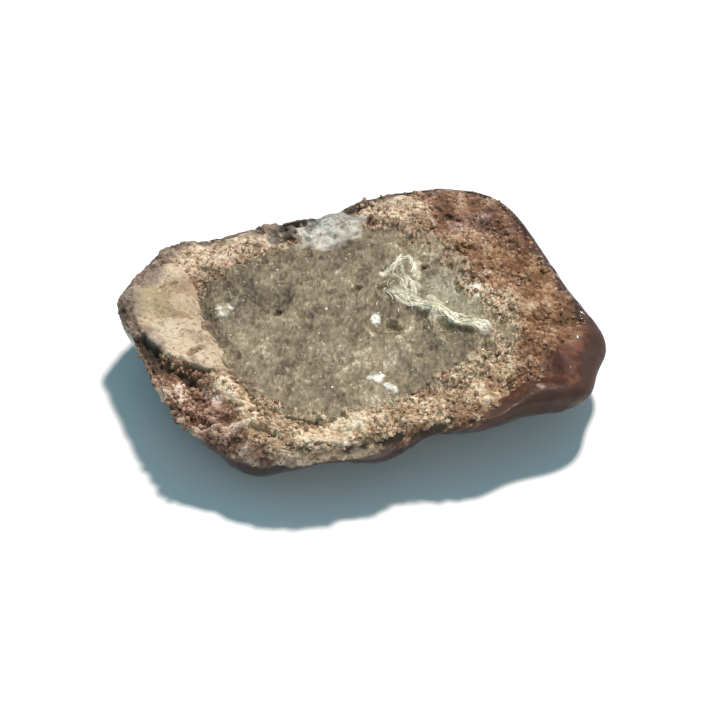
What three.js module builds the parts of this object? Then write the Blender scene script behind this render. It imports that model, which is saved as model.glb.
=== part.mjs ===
// Half of a chocolate-covered piece of candied ginger, lying with its cut face up, in millimetres.
// The coat is a shallow lumpy bowl of chocolate that stands on a small flat spot. Its rim is the cut through
// the chocolate. The ginger fills the bowl up to the cut.
// +X runs along the piece, +Y to its back, +Z up. The origin is under the middle, at the height of the foot.
import * as THREE from "three";
import { ParametricGeometry } from "three/addons/geometries/ParametricGeometry.js";

// Driving dimensions
const CUT_HEIGHT = 3.8; // the cut face above the foot
const HALF_LENGTH = 10.3; // the plain outline's half sizes, before its bumps
const HALF_WIDTH = 7.9;
const OUTLINE_POWER = 3; // 2 makes an ellipse, more makes squarer corners
const FOOT_HALF_LENGTH = 3.4; // the flat spot that it stands on
const FOOT_HALF_WIDTH = 2.6;
const FOOT_POWER = 2.2;
const SKIN_POWER = 1.9; // how full the underside is: 1 makes a straight slope, 2 a round bowl
const GINGER_HALF_LENGTH = 7;
const GINGER_HALF_WIDTH = 6.2;
const GINGER_DEPTH = 2.7; // from the cut face down to the lowest point of the ginger
const GINGER_POWER = 2;
const GAP = 0.13; // between the ginger and the coat
const EDGE_ROUNDING = 0.25; // how far the coat's cut edge lies inside its widest line
const EDGE_DROP = 0.5; // how far the widest line lies below the cut, for each millimetre of rounding

// The relief: how deep it is, how many waves make it, and how long they are
const SKIN_LUMPS = { depth: 0.4, count: 10, longest: 8, shortest: 3.5 };
const RIM_CRUMBS = { depth: 0.2, count: 12, longest: 4, shortest: 1.3 };
const GINGER_FIBRES = { depth: 0.1, count: 12, longest: 3.5, shortest: 1.2 };
const FIBRE_LENGTH = 2.5; // how many times longer than wide the waves of the fibres are
const LUMP_RISE = 0.5; // how much each millimetre of a lump moves the skin up or down, as a share of its height

// Bumps (+) and dents (-) of an outline: the angle and spread in degrees, and the height
const COAT_BUMPS = [
  { at: 143, spread: 11, height: 1.15 },
  { at: 124, spread: 11, height: 1.45 },
  { at: 105, spread: 12, height: 0.45 },
  { at: 72, spread: 9, height: -0.4 }, // the notch in the back edge
  { at: 27, spread: 14, height: 0.55 },
  { at: -12, spread: 13, height: -0.2 },
  { at: -33, spread: 11, height: 1.1 }, // the smooth corner at the front right
  { at: -52, spread: 11, height: 1.95 },
  { at: -75, spread: 14, height: 1.05 },
  { at: -100, spread: 14, height: -0.35 },
  { at: -124, spread: 13, height: -0.4 },
  { at: -148, spread: 15, height: -0.55 },
  { at: -170, spread: 14, height: 0.2 },
];
const EDGE_BUMPS = [
  { at: -33, spread: 20, height: 2 }, // the cut runs out over the smooth corner
  { at: 2, spread: 20, height: 0.5 },
  { at: -152, spread: 14, height: 1.3 }, // the broken corner at the front left
];
const GINGER_BUMPS = [
  { at: 132, spread: 14, height: 0.6 },
  { at: 90, spread: 20, height: 0.5 },
  { at: 28, spread: 14, height: -0.5 },
  { at: 0, spread: 20, height: -0.5 },
  { at: -65, spread: 20, height: -0.1 },
];

// Places on the cut face: where they lie, how far they spread, and how high they stand
const FACE_FEATURES = [
  { x: 2.6, y: 1.2, spread: 0.9, height: 0.3 }, // the torn ridge in the ginger
  { x: 3.3, y: -1.6, spread: 0.8, height: 0.35 },
  { x: 4.3, y: -3.6, spread: 0.8, height: 0.3 },
  { x: 4.9, y: -0.3, spread: 1.3, height: -0.3 }, // the wet hollow beside it
  { x: 0.9, y: -1.1, spread: 0.7, height: -0.3 }, // a pit
  { x: -5.4, y: 3.2, spread: 0.8, height: 0.15 },
  { x: -1.6, y: -4.4, spread: 0.9, height: 0.15 },
  { x: 0.4, y: 7.1, spread: 1, height: -0.45 }, // the crag in the back edge
  { x: 2.2, y: 6.9, spread: 0.9, height: 0.2 },
];

// How finely the surfaces are divided
const STEPS_ROUND = 88;

const CHOCOLATE = new THREE.MeshStandardMaterial({ color: 0x54372a, roughness: 0.42, metalness: 0 });
const GINGER = new THREE.MeshStandardMaterial({ color: 0x8f8568, roughness: 0.5, metalness: 0 });

const GOLDEN_ANGLE = Math.PI * (3 - Math.sqrt(5));

// The sum of the bumps at an angle, each a bell curve
function bumpsAt(angle, bumps) {
  return bumps.reduce((sum, { at, spread, height }) => {
    const away = THREE.MathUtils.euclideanModulo(angle - THREE.MathUtils.degToRad(at) + Math.PI, 2 * Math.PI);
    return sum + height * Math.exp(-(((away - Math.PI) / THREE.MathUtils.degToRad(spread)) ** 2));
  }, 0);
}

// The radius of an oval whose corners are squared by a power
function oval(angle, halfLength, halfWidth, power) {
  const along = Math.abs(Math.cos(angle)) / halfLength;
  const across = Math.abs(Math.sin(angle)) / halfWidth;
  return (along ** power + across ** power) ** (-1 / power);
}

// The flat spot, the coat's widest line, its rounding up to the cut, and the edge of the ginger
const footEdge = (angle) => oval(angle, FOOT_HALF_LENGTH, FOOT_HALF_WIDTH, FOOT_POWER);
const widest = (angle) => oval(angle, HALF_LENGTH, HALF_WIDTH, OUTLINE_POWER) + bumpsAt(angle, COAT_BUMPS);
const rounding = (angle) => EDGE_ROUNDING + bumpsAt(angle, EDGE_BUMPS);
const gingerEdge = (angle) =>
  oval(angle, GINGER_HALF_LENGTH, GINGER_HALF_WIDTH, OUTLINE_POWER) + bumpsAt(angle, GINGER_BUMPS);

// A bowl's profile from its rim (share 0) to its lowest point (share 1): how far out and how far down it is
function bowl(share, power) {
  const turn = (share * Math.PI) / 2;
  return { out: Math.cos(turn) ** (2 / power), down: Math.sin(turn) ** (2 / power) };
}

// Uneven relief: sine waves in evenly spread directions, each shorter than the one before
function waves(x, y, z, { depth, count, longest, shortest }) {
  let sum = 0;
  for (let i = 0; i < count; i++) {
    const rise = 1 - (2 * i + 1) / count;
    const level = Math.sqrt(1 - rise * rise);
    const length = longest * (shortest / longest) ** (i / (count - 1));
    const along = x * level * Math.cos(GOLDEN_ANGLE * i) + y * level * Math.sin(GOLDEN_ANGLE * i) + z * rise;
    sum += Math.sin((2 * Math.PI * along) / length + i * i);
  }
  return (depth * sum) / Math.sqrt(count * 2);
}

// The height of the cut face over its plain level
function faceFeatures(x, y) {
  return FACE_FEATURES.reduce((sum, place) => {
    const away = ((x - place.x) ** 2 + (y - place.y) ** 2) / place.spread ** 2;
    return sum + place.height * Math.exp(-away);
  }, 0);
}
const rimHeight = (x, y) => CUT_HEIGHT + faceFeatures(x, y) + waves(x, y, 0, RIM_CRUMBS);
const gingerHeight = (x, y) => CUT_HEIGHT + faceFeatures(x, y) + waves(x, y / FIBRE_LENGTH, 0, GINGER_FIBRES);

// A point of a surface at an angle, from its radius and a height that may depend on where it is
function place(angle, radius, height) {
  const x = radius * Math.cos(angle);
  const y = radius * Math.sin(angle);
  return [x, y, height(x, y)];
}

// The coat's profile, from under the middle outwards, up the skin, in over the rim and down into the bowl
const foot = {
  rows: 2,
  at: (angle, share) => place(angle, share * footEdge(angle), () => 0),
};
const skin = {
  rows: 12,
  at: (angle, share) => {
    const { out, down } = bowl(1 - share, SKIN_POWER);
    const radius = THREE.MathUtils.lerp(footEdge(angle), widest(angle), out);
    const height = (CUT_HEIGHT - EDGE_DROP * rounding(angle)) * (1 - down);
    const [x, y] = place(angle, radius, () => height);
    const lump = Math.sin(Math.PI * share) * waves(x, y, height, SKIN_LUMPS);
    return place(angle, radius + lump * out, () => height * (1 - lump * LUMP_RISE));
  },
};
const shoulder = {
  rows: 4,
  at: (angle, share) => {
    const turn = (share * Math.PI) / 2;
    const radius = widest(angle) - rounding(angle) * (1 - Math.cos(turn));
    const widestHeight = CUT_HEIGHT - EDGE_DROP * rounding(angle);
    return place(angle, radius, (x, y) => THREE.MathUtils.lerp(widestHeight, rimHeight(x, y), Math.sin(turn)));
  },
};
const rim = {
  rows: 5,
  at: (angle, share) => {
    const cutEdge = widest(angle) - rounding(angle);
    return place(angle, THREE.MathUtils.lerp(cutEdge, gingerEdge(angle) + GAP, share), rimHeight);
  },
};
const pocket = {
  rows: 9,
  at: (angle, share) => {
    const { out, down } = bowl(share, GINGER_POWER);
    const edge = gingerEdge(angle) + GAP;
    const top = place(angle, edge, rimHeight)[2];
    return place(angle, edge * out, () => THREE.MathUtils.lerp(top, CUT_HEIGHT - GINGER_DEPTH - GAP, down));
  },
};

// The ginger's profile, from its lowest point up to the edge of the cut, and in over the cut face
const underside = {
  rows: 9,
  at: (angle, share) => {
    const { out, down } = bowl(1 - share, GINGER_POWER);
    const edge = gingerEdge(angle);
    const top = place(angle, edge, gingerHeight)[2];
    return place(angle, edge * out, () => THREE.MathUtils.lerp(top, CUT_HEIGHT - GINGER_DEPTH, down));
  },
};
const cutFace = {
  rows: 11,
  at: (angle, share) => place(angle, gingerEdge(angle) * (1 - share), gingerHeight),
};

// A closed surface: the sections of a profile carried all the way round
function carriedRound(sections) {
  const rows = sections.reduce((sum, section) => sum + section.rows, 0);
  const surface = (u, v, target) => {
    let row = THREE.MathUtils.clamp(v, 0, 1) * rows;
    let index = 0;
    while (index < sections.length - 1 && row > sections[index].rows) row -= sections[index++].rows;
    target.set(...sections[index].at(u * 2 * Math.PI, row / sections[index].rows));
  };
  return new ParametricGeometry(surface, STEPS_ROUND, rows);
}

function named(name, geometry, material) {
  const mesh = new THREE.Mesh(geometry, material);
  mesh.name = name;
  return mesh;
}

const group = new THREE.Group();
group.add(
  named("chocolate_coat", carriedRound([foot, skin, shoulder, rim, pocket]), CHOCOLATE),
  named("ginger_core", carriedRound([underside, cutFace]), GINGER),
);

// The middle of the piece goes over the origin
const middle = new THREE.Box3().setFromObject(group, true).getCenter(new THREE.Vector3());
group.children.forEach((mesh) => mesh.position.set(-middle.x, -middle.y, 0));

export default group;
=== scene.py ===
import math

import bpy
import numpy as np
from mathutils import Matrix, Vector


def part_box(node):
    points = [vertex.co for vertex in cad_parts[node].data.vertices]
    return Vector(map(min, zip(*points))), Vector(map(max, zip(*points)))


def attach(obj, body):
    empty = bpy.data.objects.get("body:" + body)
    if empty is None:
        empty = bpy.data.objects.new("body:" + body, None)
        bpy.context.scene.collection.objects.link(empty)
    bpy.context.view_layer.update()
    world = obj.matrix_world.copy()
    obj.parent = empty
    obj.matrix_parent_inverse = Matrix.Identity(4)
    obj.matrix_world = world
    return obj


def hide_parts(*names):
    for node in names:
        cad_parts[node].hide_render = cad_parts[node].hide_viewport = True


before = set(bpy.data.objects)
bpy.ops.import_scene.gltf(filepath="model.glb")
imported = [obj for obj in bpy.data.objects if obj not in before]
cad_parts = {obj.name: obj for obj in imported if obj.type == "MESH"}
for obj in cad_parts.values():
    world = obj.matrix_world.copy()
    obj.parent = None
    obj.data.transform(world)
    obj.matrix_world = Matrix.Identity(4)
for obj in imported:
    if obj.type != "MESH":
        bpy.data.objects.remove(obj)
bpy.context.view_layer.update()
millimetre = 0.001

# The half's form in millimetres, worked out as in the solids. Bumps are (angle, spread, height).
form = {
    "cutHeight": 3.8,
    "outline": (10.3, 7.9, 3.0),  # the oval's half length and half width, and the power that squares its corners
    "foot": (3.4, 2.6, 2.2),
    "ginger": (7.0, 6.2, 3.0),
    "skinPower": 1.9,  # 1 is a straight slope, 2 a round bowl
    "gingerDepth": 2.7,
    "gingerPower": 2.0,
    "edgeRounding": 0.25,
    "edgeDrop": 0.5,
    "skinLumps": (0.4, 10, 8, 3.5),  # the depth and count of the waves, and how long they are
    "rimCrumbs": (0.2, 12, 4, 1.3),
    "gingerFibres": (0.1, 12, 3.5, 1.2),
    "fibreLength": 2.5,
    "lumpRise": 0.5,
    "coatBumps": [
        (143, 11, 1.15), (124, 11, 1.45), (105, 12, 0.45), (72, 9, -0.4), (27, 14, 0.55), (-12, 13, -0.2),
        (-33, 11, 1.1), (-52, 11, 1.95), (-75, 14, 1.05), (-100, 14, -0.35), (-124, 13, -0.4), (-148, 15, -0.55),
        (-170, 14, 0.2),
    ],
    "edgeBumps": [(-33, 20, 2.0), (2, 20, 0.5), (-152, 14, 1.3)],
    "gingerBumps": [(132, 14, 0.6), (90, 20, 0.5), (28, 14, -0.5), (0, 20, -0.5), (-65, 20, -0.1)],
    "faceFeatures": [  # x, y, spread, height
        (2.6, 1.2, 0.9, 0.3), (3.3, -1.6, 0.8, 0.35), (4.3, -3.6, 0.8, 0.3),  # the torn ridge
        (4.9, -0.3, 1.3, -0.3),  # the wet hollow beside it
        (0.9, -1.1, 0.7, -0.3), (-5.4, 3.2, 0.8, 0.15), (-1.6, -4.4, 0.9, 0.15),
        (0.4, 7.1, 1.0, -0.45), (2.2, 6.9, 0.9, 0.2),  # the crag and the pale spot in the back edge
    ],
}


# A sum of bell curves round the outline
def bumpsAt(angle, bumps):
    total = np.zeros_like(angle)
    for at, spread, height in bumps:
        away = (angle - math.radians(at) + math.pi) % (2 * math.pi) - math.pi
        total += height * np.exp(-(away / math.radians(spread)) ** 2)
    return total


# The radius of an oval whose corners are squared by a power
def oval(angle, halfLength, halfWidth, power):
    along, across = np.abs(np.cos(angle)) / halfLength, np.abs(np.sin(angle)) / halfWidth
    return (along ** power + across ** power) ** (-1 / power)


# The edges of the foot, of the coat at its widest and of the ginger, and how far the cut lies inside the widest
def footEdge(angle):
    return oval(angle, *form["foot"])


def widest(angle):
    return oval(angle, *form["outline"]) + bumpsAt(angle, form["coatBumps"])


def rounding(angle):
    return form["edgeRounding"] + bumpsAt(angle, form["edgeBumps"])


def gingerEdge(angle):
    return oval(angle, *form["ginger"]) + bumpsAt(angle, form["gingerBumps"])


# Points round the middle, from their angle and radius
def polar(angle, radius):
    return radius * np.cos(angle), radius * np.sin(angle)


# How far points lie inside the edge of the ginger
def insideGinger(x, y):
    return gingerEdge(np.arctan2(y, x)) - np.hypot(x, y)


# Even steps from 0 to 1, without the 0
def shares(count):
    return np.linspace(0, 1, count + 1)[1:]


# A bowl's profile: share 0 is its rim and 1 its lowest point, the answers are how far out and how far down
def bowl(share, power):
    turn = share * math.pi / 2
    return np.cos(turn).clip(0) ** (2 / power), np.sin(turn) ** (2 / power)


# Uneven relief: sine waves in evenly spread directions, each shorter than the one before
def waves(x, y, z, relief):
    depth, count, longest, shortest = relief
    total = 0.0
    for i in range(count):
        rise = 1 - (2 * i + 1) / count
        level = math.sqrt(1 - rise * rise)
        turn = math.pi * (3 - math.sqrt(5)) * i
        length = longest * (shortest / longest) ** (i / (count - 1))
        along = x * level * math.cos(turn) + y * level * math.sin(turn) + z * rise
        total = total + np.sin(2 * math.pi * along / length + i * i)
    return depth * total / math.sqrt(count * 2)


# A sum of bell curves on the cut, each given as x, y, spread and height
def bells(x, y, hills):
    total = 0.0
    for cx, cy, spread, height in hills:
        total = total + height * np.exp(-((x - cx) ** 2 + (y - cy) ** 2) / spread ** 2)
    return total


def rimPlain(x, y):
    return form["cutHeight"] + bells(x, y, form["faceFeatures"]) + waves(x, y, 0, form["rimCrumbs"])


def gingerPlain(x, y):
    fibres = waves(x, y / form["fibreLength"], 0, form["gingerFibres"])
    return form["cutHeight"] + bells(x, y, form["faceFeatures"]) + fibres


# Repeatable numbers from 0 to 1 for lattice points, by mixing the bits of their whole coordinates
def latticeValue(ix, iy, iz, seed):
    mixed = (ix * 374761393 + iy * 668265263 + iz * 1274126177 + seed * 1103515245) & 0xFFFFFFFF
    mixed = ((mixed ^ (mixed >> 13)) * 1274126177) & 0xFFFFFFFF
    mixed = ((mixed ^ (mixed >> 16)) * 668265263) & 0xFFFFFFFF
    return ((mixed >> 8) & 0xFFFF) / 65535.0


# Smooth noise from -1 to 1: lattice values blended along each axis by the curve 6t^5 - 15t^4 + 10t^3
def smoothNoise(x, y, z, size, seed):
    x, y, z = np.broadcast_arrays(x / size, y / size, z / size)
    ix, iy, iz = (np.floor(v).astype(np.int64) for v in (x, y, z))
    fx, fy, fz = (t * t * t * (t * (t * 6 - 15) + 10) for t in (x - ix, y - iy, z - iz))
    total = np.zeros(x.shape)
    for dx in (0, 1):
        for dy in (0, 1):
            for dz in (0, 1):
                weight = (fx if dx else 1 - fx) * (fy if dy else 1 - fy) * (fz if dz else 1 - fz)
                total += weight * latticeValue(ix + dx, iy + dy, iz + dz, seed)
    return total * 2 - 1


# Octaves of smooth noise, each half as wide and half as strong, on axes turned between octaves
def roughNoise(x, y, z, size, octaves, seed):
    total, strength = 0.0, 1.0
    for i in range(octaves):
        total = total + strength * smoothNoise(x, y, z, size, seed + 17 * i)
        x, y, z = 0.8 * x - 0.6 * y, 0.6 * x + 0.8 * y, z + 3.7
        x, z = 0.8 * x + 0.6 * z, 0.8 * z - 0.6 * x
        size, strength = size / 2, strength / 2
    return total / (2 - 2 * strength)


# Cells round scattered points: the distances to the nearest and next point, in cell sizes, and a cell's number
def cells(x, y, size, seed):
    x, y = np.broadcast_arrays(x / size, y / size)
    ix, iy = np.floor(x).astype(np.int64), np.floor(y).astype(np.int64)
    nearest, second, number = np.full(x.shape, 9.0), np.full(x.shape, 9.0), np.zeros(x.shape)
    for dx in (-1, 0, 1):
        for dy in (-1, 0, 1):
            cx, cy = ix + dx, iy + dy
            px = cx + latticeValue(cx, cy, 0, seed)
            py = cy + latticeValue(cx, cy, 1, seed)
            away = np.hypot(x - px, y - py)
            closer = away < nearest
            second = np.where(closer, nearest, np.minimum(second, away))
            number = np.where(closer, latticeValue(cx, cy, 2, seed), number)
            nearest = np.where(closer, away, nearest)
    return nearest, second, number


# The curve 3t^2 - 2t^3, with t the share of the way from low to high
def ease(value, low, high):
    t = ((value - low) / (high - low)).clip(0, 1)
    return t * t * (3 - 2 * t)


# 1 between two angles in degrees, counted round from the first to the second, easing off over a few degrees
def sector(angle, start, end, soft):
    middle, half = math.radians((start + end) / 2), math.radians((end - start) / 2)
    away = np.abs((angle - middle + math.pi) % (2 * math.pi) - math.pi)
    return 1 - ease(away, half - math.radians(soft), half + math.radians(soft))


# Where things lie on the cut, in the form's millimetres: outlines, lines, round places with their radius, and bells
# of tone with their spread and amount
places = {
    "cream": [(-7.8, 7.4), (-7, 7.6), (-6.3, 7.6), (-5.7, 7.3), (-5.8, 6.3), (-6.2, 4.5), (-6.8, 2.6), (-6.8, 0.6),
              (-7, -0.6), (-7.8, -0.3), (-8.6, 0.8), (-9.2, 2), (-9.6, 3.6), (-9.3, 5.5), (-8.6, 6.8)],
    "olive": [(-8.2, 5.7, 1.3)],
    # Creases in the pale facet, sunk and painted darker: painted shade
    "creases": [[(-8.5, 7), (-7.6, 6.5), (-6.7, 6.3)], [(-8.7, 0.4), (-8.1, 1.3), (-7.7, 1.7)]],
    "shades": [(7.5, -4.2, 1.5, 0.22), (5.4, 6.3, 1.1, -0.16), (7.3, 5.4, 0.9, -0.3), (7.9, 4.1, 0.8, 0.16),
               (6.1, 4.2, 0.6, -0.16), (7.9, -0.8, 0.7, -0.22), (9.2, 2.2, 0.9, -0.2), (3.6, 7.6, 0.45, -0.3),
               (4.9, 6.9, 0.35, -0.35), (5.4, 7.6, 0.4, 0.2), (7, 4.5, 1.8, -0.05), (-5.15, 6.6, 0.5, -0.65),
               (-4.4, 7.4, 0.5, 0.25), (-2.6, 7.6, 1.2, 0.12), (5.07, 5.72, 0.4, 0.35), (5.7, 4.85, 0.3, -0.45),
               (6.2, 4.9, 0.3, 0.35), (6.9, 5.3, 0.45, -0.25), (6.35, 6.1, 0.35, 0.3)],
    # Strokes where the facet is painted lighter: painted highlight along its top, and its lower band's paler colour
    "creamLight": [[(-9.2, 4.2), (-8.7, 2.7), (-8, 1.6), (-7.3, 0.6)], [(-7.4, 7.4), (-5.7, 7.2)]],
    "broken": [(-11, 3.4), (-9.9, 1.7), (-9.3, 0.2), (-8.2, -1.2), (-8.1, -3.3), (-8.4, -5.4), (-7, -7.2),
               (-7, -12), (-15, -9), (-15, 2)],
    "sugar": [(-9, -0.8), (-7, -1), (-6.2, -3.6), (-3, -5.4), (1, -6.4), (3.6, -5.2), (5.4, -3.4),
              (5.5, -1.5), (6.8, -2.2), (6.6, -4.4), (4.4, -7), (2.6, -7.7), (0.2, -7.9), (-2.2, -8.1),
              (-4.3, -8.2), (-5.2, -10.6), (-9.6, -9.6), (-8.9, -6.6), (-8.4, -3)],
    "sugarBack": [(-7.6, 8.6), (-5.4, 9.6), (-1, 8.4), (-0.3, 7.2), (-1, 6.4), (-3, 6.4), (-5.3, 6.5)],
    "sugarRight": [(2.9, 8), (5, 8.6), (6.5, 6.7), (5.6, 4.6), (4.6, 4.8), (3.2, 6)],
    "smooth": [(0.9, -10.4), (1.3, -8.9), (2.6, -8.1), (4.4, -7.6), (5.5, -7.3), (6.5, -6.6), (7.6, -6.1),
               (8.8, -5.5), (9.8, -4.8), (13, -4.6), (12, -12)],
    # A pale pink spot on the smooth corner: a painted highlight
    "fleck": [(5.1, -8.4, 0.3)],
    "clear": [(1.2, 8.2), (3.1, 7.5), (3.6, 6.2), (2.6, 5.4), (1, 5.4), (0.2, 6), (0.5, 7.4)],
    # The crag's hole, sunk and painted dark: dark chocolate and painted shade
    "cragSpot": [(0, 7.1, 0.4)],
    "crags": [(-1.1, 7.2), (0.2, 8.3), (1, 7.7), (0.3, 6.5), (-0.8, 6.4)],
    # Cracks, sunk and painted dark: dark chocolate and painted shade
    "cracks": [[(-4.9, -7.7), (-3.9, -7.9)], [(-3.2, -7.9), (-2.2, -8.2)], [(-1.4, -8.5), (0.2, -8.6)],
               [(-10, 3.6), (-9.5, 1.7), (-9.1, 0.6), (-8.8, 0)]],
    "ridge": [(2.2, 1), (2.4, 0.5), (2.8, -0.35), (3.2, -0.85), (3.55, -1.5), (3.9, -2.4), (4.3, -3.1),
              (4.65, -3.7)],
    "wisps": [[(2.5, 2.2), (3.2, 2.5), (3.7, 2.8), (4.2, 2.9)], [(4.2, 2.8), (4, 2), (3.65, 1.35)],
              [(2.8, 2), (3, 1.4), (2.8, 0.7), (2.9, 0.1)], [(3.5, 2.3), (3.2, 1.6), (3.3, 0.9), (3.1, 0.3)]],
    # A slit in the flesh, sunk and painted darker: painted shade
    "slit": [[(4.7, 2.4), (4.1, 1.2), (3.65, 0.3)]],
    "calm": [(-0.3, 7.4, 1, 0.5)],
    "hollow": (4.7, -0.5, 1.5),
    "fleshShades": [(1.9, -4.2, 2.1213, -0.23), (-0.7, -2.6, 1.4142, 0.16), (-4.4, 2.4, 2.2361, 0.07)],
    # Pits in the flesh, sunk and painted darker: painted shade
    "pits": [(1.2, -0.95, 0.45), (0.8, 1.9, 0.3), (4.45, 1.9, 0.3), (-3.3, 2.2, 0.3)],
    # Glints on the flesh: white sugar spots and crystals, partly painted glints
    "glints": [(-5.6, 3.5, 0.33), (-1.4, -4.2, 0.32), (-1.1, -5, 0.22), (5.95, -0.55, 0.34), (4.7, -3.6, 0.28),
               (0.6, -0.35, 0.2)],
    "frost": [(2.9, 0.6), (3.3, 2.2), (4.1, 2.9), (4.7, 2.3), (4.4, 1.6), (3.9, 0.2), (4.2, -1.6), (3.4, -1.4)],
}


# The distance from points to a line of straight stretches
def distanceToLine(x, y, line):
    nearest = np.full(np.shape(x), 99.0)
    for (ax, ay), (bx, by) in zip(line[:-1], line[1:]):
        dx, dy = bx - ax, by - ay
        share = (((x - ax) * dx + (y - ay) * dy) / (dx * dx + dy * dy)).clip(0, 1)
        nearest = np.minimum(nearest, np.hypot(x - ax - share * dx, y - ay - share * dy))
    return nearest


# 1 near any line of a name, easing to 0 between two distances, its edge moved by a waver
def strokes(x, y, name, waver, near, far):
    away = np.min([distanceToLine(x, y, line) for line in places[name]], axis=0)
    return 1 - ease(away + waver, near, far)


# 1 in the middle of any round place of a name, easing to 0 between two shares of its radius, moved by a waver
def spots(x, y, name, waver, near, far):
    total = np.zeros(np.shape(x))
    for cx, cy, radius in places[name]:
        total = np.maximum(total, 1 - ease(np.hypot(x - cx, y - cy) + waver, near * radius, far * radius))
    return total


# What is left where none of the named masks lies
def without(masks, *names):
    return math.prod(1 - masks[name] for name in names)


# How far points lie inside a ring of corners: the distance to its sides, negative outside
def depthInside(x, y, corners):
    inside = np.zeros(np.shape(x), bool)
    for (ax, ay), (bx, by) in zip(corners, corners[1:] + corners[:1]):
        inside ^= ((ay > y) != (by > y)) & (x < ax + (y - ay) * (bx - ax) / (by - ay + 1e-12))
    away = distanceToLine(x, y, corners + corners[:1])
    return np.where(inside, away, -away)


# A patch with a ragged edge: 1 inside, easing to 0 over the soft width, its edge moved by rough noise
def patch(x, y, name, soft, ragged, seed):
    edge = depthInside(x, y, places[name]) + ragged * roughNoise(x, y, 0, 0.9, 4, seed)
    return ease(edge, -soft, soft)


# Where a point of the cut lies: its angle and how far it is across the rim, from the ginger (0) to the edge (1)
def acrossRim(x, y):
    angle = np.arctan2(y, x)
    inner, outer = gingerEdge(angle), widest(angle) - rounding(angle)
    return angle, (np.hypot(x, y) - inner) / (outer - inner)


rimLook = {
    "creamLift": 0.1,
    "creamFold": 0.3,
    "creamTurn": 0.14,  # how far the facet turns down beside the broken corner
    "gritHeight": 0.035,
    "brokenDrop": 0.42,
    "chipSize": 0.85,
    "chipHeight": 0.28,
    "crumbSize": 0.34,
    "crumbHeight": 0.17,
    "roughness": 0.26,
    "crackDepth": 0.3,
    "crackWidth": (0.12, 0.42),
    "cragDepth": 0.28,
    "creaseDepth": 0.1,
    "facetSize": 1.2,
    "facetStep": 0.1,
    "cornerLumps": 0.11,
    "lipDrop": 0.34,  # how far the rim thins out over the edge of the ginger
    "lipRagged": 0.55,
}


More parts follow.
